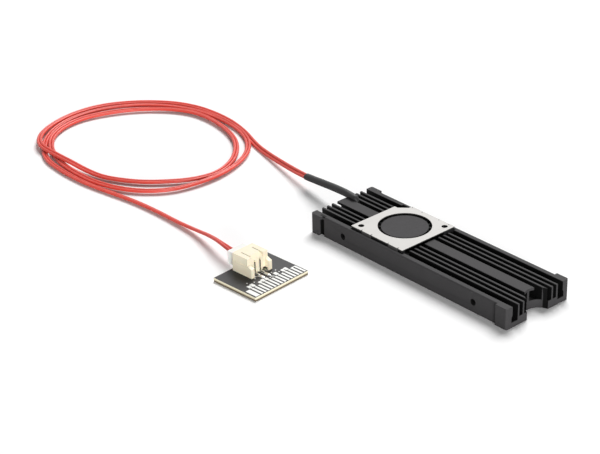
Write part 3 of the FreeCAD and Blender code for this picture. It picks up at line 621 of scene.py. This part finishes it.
def leadPiece():
    rollTable = tuple((total * share, math.radians(turn)) for share, turn in lead["roll"])
    settleTable = tuple(zip((distance * mm for distance in lead["settles"]), (0.0, 1.0)))
    spreadTable = tuple(zip((distance * mm for distance in lead["spread"]), (1.0, 0.0)))
    reach = lead["wireWidth"] / 2 * mm
    points, faces = [], []
    for sign in (-1, 1):
        rings = []
        for index, centre in enumerate(line):
            if travel[index] < lead["mouthLength"] * mm:
                continue
            gap = lead["pitch"] + (lead["plugPitch"] - lead["pitch"]) * easeBetween(total - travel[index], spreadTable)
            side, rise = across(index)
            turn = easeBetween(travel[index], rollTable)
            pairSide = side * math.cos(turn) + rise * math.sin(turn)
            settled = easeBetween(travel[index], settleTable)
            lift = up * (settled * abs(math.sin(turn)) * lead["pitch"] / 2 * mm)
            middle = centre + lift + pairSide * (gap / 2 * mm * sign)
            ring = []
            for corner in range(lead["sides"]):
                angle = 2 * math.pi * corner / lead["sides"]
                ring.append(middle + side * (reach * math.cos(angle)) + rise * (reach * math.sin(angle)))
            rings.append(ring)
        tubeRings(points, faces, rings)
    lowest = min(point.z for point in points)
    print("cooler: lead's lowest point", round(lowest * 1000, 3), "mm")
    return meshPiece("lead", points, faces, "lead_red", smooth=60)


# Sleeve: shrunk tube round the wires where they leave the fins

sleeveSizes = {
    "length": 26.3, "sides": 32,
    "mouth": (  # where it turns down between the rib and the first fin: place, lean, half width, half height
        ((-34.0, 2.62, 5.62), 58, 0.50, 0.42),
        ((-34.06, 2.62, 5.72), 58, 0.62, 0.54),
        ((-34.3, 2.62, 6.0), 50, 0.72, 0.62),
        ((-34.56, 2.61, 6.3), 36, 0.86, 0.76),
        ((-34.8, 2.6, 6.58), 20, 1.0, 0.88),
    ),
    "widths": ((0.0, 1.13), (0.1, 1.15), (0.5, 1.14), (0.85, 1.16), (1.0, 1.12)),  # half width at shares of its length
    "heights": ((0.0, 0.94), (0.2, 1.10), (0.5, 1.10), (0.85, 1.05), (1.0, 1.0)),
    "bore": 0.86,  # inside of the open end, as a share of its outside
    "crease": 0.03, "creaseAround": 1.3, "creaseAlong": 260,  # depth, then how closely the creases follow each other
}


def sleevePiece():
    s = sleeveSizes
    length = s["length"] * mm
    outer, inner = [], []

    def addRing(middle, side, rise, wide, tall, seed):
        ring = []
        for corner in range(s["sides"]):
            angle = 2 * math.pi * corner / s["sides"]
            x, y = math.cos(angle), math.sin(angle)
            crease = 1 + s["crease"] * noise.noise(Vector((seed, x * s["creaseAround"], y * s["creaseAround"])))
            ring.append(middle + side * (wide * mm * crease * x) + rise * (tall * mm * crease * y))
        outer.append(ring)
        inner.append([middle + (point - middle) * s["bore"] for point in ring])

    for place, lean, wide, tall in s["mouth"]:
        toward = Vector((-math.cos(math.radians(lean)), 0, math.sin(math.radians(lean))))
        side = up.cross(toward).normalized()
        addRing(Vector(place) * mm, side, toward.cross(side), wide, tall, 0)
    for index, place in enumerate(travel):
        if place <= length:
            wide, tall = (easeBetween(place / length, s[key]) for key in ("widths", "heights"))
            addRing(line[index], *across(index), wide, tall, place * s["creaseAlong"])
    points, faces = [], []
    tubeRings(points, faces, outer + inner[-2:][::-1])  # its far end is open, one ring deep
    return meshPiece("shrinkSleeve", points, faces, "sleeve_black", smooth=50)


leadWires = leadPiece()
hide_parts("lead_run_in", "lead_coil", "lead_run_out")
sleeve = sleevePiece()
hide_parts("heat_shrink_sleeve")
print("cooler: lead and sleeve made")


# Copper and solder on the adapter board, all in the board's own millimetres

boardX, boardY = board["middle"]
boardTurn = Matrix.Rotation(math.radians(board["turn"]), 4, "Z")
boardPlace = Matrix.Translation((boardX * mm, boardY * mm, 0)) @ boardTurn


def slab(points, faces, corners, thick):  # flat piece with the given outline, on top of the board
    heights = (board["top"], board["top"] + thick)
    tubeRings(points, faces, [[boardPlace @ Vector((x * mm, y * mm, z * mm)) for x, y in corners] for z in heights])


def roundedRow(left, right, low, high, radius, steps=3):  # corner points of a box with rounded corners
    corners = []
    for x, y, start in ((right, high, 0), (left, high, 90), (left, low, 180), (right, low, 270)):
        middleX = x - radius if x == right else x + radius
        middleY = y - radius if y == high else y + radius
        for step in range(steps + 1):
            angle = math.radians(start + 90 * step / steps)
            corners.append((middleX + radius * math.cos(angle), middleY + radius * math.sin(angle)))
    return corners


row = {  # the contacts, the first of which is wide; left and right count from the board's middle
    "shift": 0.45, "pitch": 1.27, "count": 15, "width": 0.7, "wide": 1.5,
    "left": 3.85, "right": 7.95, "round": 0.08, "thick": 0.05,
}


def contactRow():
    points, faces = [], []
    for number in range(row["count"]):
        middle = row["shift"] + row["pitch"] * (number - (row["count"] - 1) / 2)
        half = row["width"] / 2
        low = middle - (row["wide"] - half if number == 0 else half)
        slab(points, faces, roundedRow(row["left"], row["right"], low, middle + half, row["round"]), row["thick"])
    return meshPiece("contactRow", points, faces, "edge_contact", smooth=30)


traces = {
    "thick": 0.04, "round": 0.15,
    "pads": (  # left, right, low and high edge of each bare pad between the header and the contacts
        (2.2, 3.6, 6.3, 7.25), (2.3, 3.6, 5.05, 6.05), (2.1, 3.55, 2.4, 3.55), (2.4, 3.55, -1.3, -0.35),
        (2.2, 3.55, -2.6, -1.55), (2.5, 3.55, -3.8, -2.9), (1.9, 3.5, -6.4, -5.35), (2.1, 3.5, -7.65, -6.7),
    ),
    "link": 0.3, "linkLap": 0.05, "linkEnd": 3.87, "linkThick": 0.7,  # narrow copper from each pad to the contacts
    "bridges": (  # corner points of the copper that joins pads to pins and contacts
        ((3.6, 7.75), (3.95, 7.75), (3.95, 9.65), (3.6, 9.65)),
        ((2.4, 5.95), (2.75, 5.95), (2.75, 6.4), (2.4, 6.4)),
        ((1.6, -0.9), (2.0, -1.25), (3.3, -2.2), (3.1, -1.75)),
        ((2.5, 0.95), (3.0, 1.0), (3.7, 1.55), (3.5, 1.85)),
        ((2.2, -6.8), (2.5, -6.8), (2.5, -6.3), (2.2, -6.3)),
        ((2.6, -2.6), (3.0, -2.6), (3.0, -2.9), (2.6, -2.9)),
    ),
    "bridgeThick": 0.85,  # like linkThick a share of the pads' thickness
    "vias": ((1.35, 4.3), (1.9, -4.4), (0.6, -2.9), (1.5, 2.6), (0.9, -6.2), (2.7, 4.35), (3.3, 0.35)),
    "viaReach": 0.22, "viaSides": 10,
}


def boardTraces():
    t = traces
    points, faces = [], []
    for left, right, low, high in t["pads"]:
        slab(points, faces, roundedRow(left, right, low, high, t["round"]), t["thick"])
        start, end = right - t["linkLap"], t["linkEnd"]
        bottom, top = ((low + high) / 2 + side * t["link"] / 2 for side in (-1, 1))
        link = ((start, bottom), (end, bottom), (end, top), (start, top))
        slab(points, faces, link, t["thick"] * t["linkThick"])
    for corners in t["bridges"]:
        slab(points, faces, corners, t["thick"] * t["bridgeThick"])
    for x, y in t["vias"]:
        angles = [2 * math.pi * step / t["viaSides"] for step in range(t["viaSides"])]
        rim = [(x + t["viaReach"] * math.cos(angle), y + t["viaReach"] * math.sin(angle)) for angle in angles]
        slab(points, faces, rim, t["thick"])
    return meshPiece("boardTraces", points, faces, "edge_contact", smooth=30)


mounds = {
    "places": ((1.35, 1.2, 1.35, 0.5), (1.1, -0.8, 1.25, 0.5)),  # middle, then reach along and across the board
    "layers": ((1.0, 0.0), (0.92, 0.10), (0.72, 0.20), (0.4, 0.26), (0.1, 0.28)),  # share of the reach, height
    "sides": 20, "foot": 0.05, "wave": 0.06, "lobes": 3,
}


def solderJoints():  # bright mounds round the header's two soldered feet
    m = mounds
    points, faces = [], []
    for x, y, reachX, reachY in m["places"]:
        rings = []
        for share, rise in m["layers"]:
            ring = []
            for step in range(m["sides"]):
                angle = 2 * math.pi * step / m["sides"]
                wave = 1 + m["wave"] * math.sin(m["lobes"] * angle + x)
                along = x + reachX * share * wave * math.cos(angle)
                over = y + reachY * share * math.sin(angle)
                ring.append(boardPlace @ Vector((along * mm, over * mm, (board["top"] + m["foot"] + rise) * mm)))
            rings.append(ring)
        tubeRings(points, faces, rings)
    return meshPiece("solderJoints", points, faces, "solder", smooth=70)


contacts = contactRow()
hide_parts(*[name for name in nodes if name.startswith("edge_contact")])

onLead = [sleeve, contacts, boardTraces(), solderJoints()] + [nodes[name] for name in sorted(nodes) if name.startswith(
    ("plug_", "header_", "pin_pad", "anchor_pad", "adapter_board"))]
print("cooler: contacts, pads and solder made")


# Floor, light and camera

ground = {
    "reach": 3.0, "drop": 0.03,  # half its width in metres, how far it lies under the object in millimetres
    "tone": 0.80, "seenTone": 1.0, "lift": 0.02,  # the camera sees it white, with a faint glow
}


def floorFinish():
    f = Finish("paleFloor")
    seen = f.node("LightPath", out="Is Camera Ray")
    shown = f.mix(seen, (*[ground["tone"]] * 3, 1), (*[ground["seenTone"]] * 3, 1))
    plain = f.node("BsdfDiffuse", None, {0: shown})
    lift = f.node("Emission", None, {0: (1, 1, 1, 1), 1: ground["lift"]})
    lifted = f.node("AddShader", None, {0: plain, 1: lift})
    f.node("OutputMaterial", None, {0: f.node("MixShader", None, {0: seen, 1: plain, 2: lifted})})
    return f.made


def makeFloor():
    mesh = bpy.data.meshes.new("floor")
    reach, z = ground["reach"], -ground["drop"] * mm
    corners = [(-reach, -reach, z), (reach, -reach, z), (reach, reach, z), (-reach, reach, z)]
    mesh.from_pydata(corners, [], [(0, 1, 2, 3)])
    mesh.materials.append(floorFinish())
    floor = bpy.data.objects.new("floor", mesh)
    bpy.context.scene.collection.objects.link(floor)


studio = {"around": 0.14, "seen": 1.0}  # strength of the white world on the object, and as seen


def makeWorld():
    f = Finish("studio", bpy.data.worlds)
    direct = f.node("LightPath", out="Is Camera Ray")
    either = direct.math("MAXIMUM", direct, f.node("LightPath", out="Is Glossy Ray"))
    around, seen = (f.node("Background", None, {0: (1, 1, 1, 1), 1: studio[key]}) for key in ("around", "seen"))
    f.node("OutputWorld", None, {0: f.node("MixShader", None, {0: either, 1: around, 2: seen})})
    bpy.context.scene.world = f.made


lamps = {
    "key": {"place": (-0.76, 1.24, 1.84), "aim": (-0.05, -0.01, 0), "size": 1.65, "power": 63.5},
    "fill": {"place": (2.03, -1.06, 0.2), "aim": (-0.03, -0.01, 0), "size": 0.9, "power": 66.0},
}


def makeLamps():
    for name, values in lamps.items():
        data = bpy.data.lights.new(name, "AREA")
        data.shape = "DISK"
        data.size = values["size"]
        data.energy = values["power"]
        lamp = bpy.data.objects.new(name, data)
        lamp.location = values["place"]
        aim = Vector(values["aim"]) - Vector(values["place"])
        lamp.rotation_euler = aim.to_track_quat("-Z", "Y").to_euler()
        bpy.context.scene.collection.objects.link(lamp)


camera = {
    "place": (0.30992, -0.31580, 0.24546), "turn": -49.277, "down": 27.83, "roll": -1.466,
    "lens": 109.1, "sensor": 36, "near": 0.01, "far": 10,
}


def makeCamera():
    turn, down, roll = (math.radians(camera[key]) for key in ("turn", "down", "roll"))
    ahead = Vector((math.cos(down) * math.sin(turn), math.cos(down) * math.cos(turn), -math.sin(down)))
    level = ahead.cross(up).normalized()
    over = level.cross(ahead)
    right = level * math.cos(roll) + over * math.sin(roll)
    top = over * math.cos(roll) - level * math.sin(roll)
    data = bpy.data.cameras.new("view")
    data.lens = camera["lens"]
    data.sensor_width = camera["sensor"]
    data.clip_start = camera["near"]
    data.clip_end = camera["far"]
    eye = bpy.data.objects.new("view", data)
    axes = Matrix((right, top, -ahead)).transposed().to_4x4()
    eye.matrix_world = Matrix.Translation(camera["place"]) @ axes
    bpy.context.scene.collection.objects.link(eye)
    bpy.context.scene.camera = eye


makeFloor()
makeWorld()
makeLamps()
makeCamera()
bpy.context.scene.view_settings.view_transform = "Standard"
print("cooler: floor, light and camera set")
